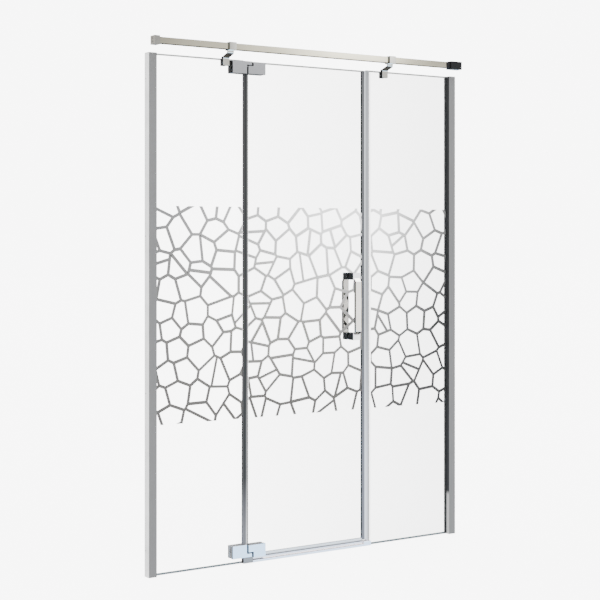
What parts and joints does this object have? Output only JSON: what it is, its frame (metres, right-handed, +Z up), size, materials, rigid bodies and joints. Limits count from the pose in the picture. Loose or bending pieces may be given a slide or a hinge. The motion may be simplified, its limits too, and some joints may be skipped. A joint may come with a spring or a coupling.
{
  "type": "hinged shower door",
  "caption": "Frameless niche shower door: a glass door on pivot hinges between fixed panes, with wall profiles, a square support bar, magnetic seals and pull handles.",
  "frame": {"origin": "on the left wall at tray level, in the middle plane of the glass", "axes": "+X along the glass to the right wall, +Y from outside into the shower, +Z up"},
  "size_m": [1.5, 0.1275, 2.0595],
  "materials": {
    "satin_aluminium": "satin anodised grey",
    "clear_glass": "clear toughened glass",
    "glazing_rubber": "matte dark grey",
    "polished_steel": "polished",
    "black_plastic": "matte black",
    "cast_fittings": "polished",
    "hinge_metal": "polished",
    "clear_pvc": "clear, slightly milky",
    "seal_plastic": "satin cool grey",
    "magnet_strip": "matte black",
    "tray_metal": "satin",
    "screw_steel": "plain"
  },
  "bodies": {
    "frame_set": {"left_profile": "satin_aluminium", "right_profile": "satin_aluminium", "left_glazing": "glazing_rubber", "right_glazing": "glazing_rubber", "left_profile_cap": "satin_aluminium", "right_profile_cap": "satin_aluminium", "left_glass": "clear_glass", "right_glass": "clear_glass", "support_bar": "polished_steel", "bar_adjuster": "black_plastic", "left_bar_socket": "cast_fittings", "right_bar_socket": "black_plastic", "bar_set_screws": "screw_steel", "left_bracket": "cast_fittings", "right_bracket": "cast_fittings", "left_bracket_jaw": "cast_fittings", "right_bracket_jaw": "cast_fittings", "left_bracket_pads": "glazing_rubber", "right_bracket_pads": "glazing_rubber", "bracket_screws": "screw_steel", "threshold": "tray_metal", "left_threshold_block": "tray_metal", "right_threshold_block": "tray_metal", "hinge_gap_seal": "glazing_rubber", "fixed_magnet_seal": "seal_plastic", "fixed_magnet": "magnet_strip", "top_hinge_fixed_outer": "hinge_metal", "top_hinge_fixed_inner": "hinge_metal", "top_hinge_fixed_gaskets": "glazing_rubber", "top_hinge_pin": "screw_steel", "bottom_hinge_fixed_outer": "hinge_metal", "bottom_hinge_fixed_inner": "hinge_metal", "bottom_hinge_fixed_gaskets": "glazing_rubber", "bottom_hinge_pin": "screw_steel", "hinge_fixed_screws": "screw_steel"},
    "door": {"door_glass": "clear_glass", "door_bottom_seal": "clear_pvc", "door_magnet_seal": "seal_plastic", "door_magnet": "magnet_strip", "top_hinge_moving_outer": "hinge_metal", "top_hinge_moving_inner": "hinge_metal", "top_hinge_moving_gaskets": "glazing_rubber", "top_hinge_bush": "black_plastic", "bottom_hinge_moving_outer": "hinge_metal", "bottom_hinge_moving_inner": "hinge_metal", "bottom_hinge_moving_gaskets": "glazing_rubber", "bottom_hinge_bush": "black_plastic", "hinge_moving_screws": "screw_steel", "outer_grip": "polished_steel", "inner_grip": "polished_steel", "upper_outer_post": "cast_fittings", "lower_outer_post": "cast_fittings", "upper_inner_post": "cast_fittings", "lower_inner_post": "cast_fittings", "handle_washers": "clear_pvc", "handle_studs": "screw_steel", "handle_grub_screws": "screw_steel"}
  },
  "joints": [
    {"name": "door_hinge", "type": "hinge", "parent": "frame_set", "child": "door", "pos_m": [0.457, -0.013, 0], "axis": [0, 0, -1], "range_deg": [0, 100]}
  ]
}
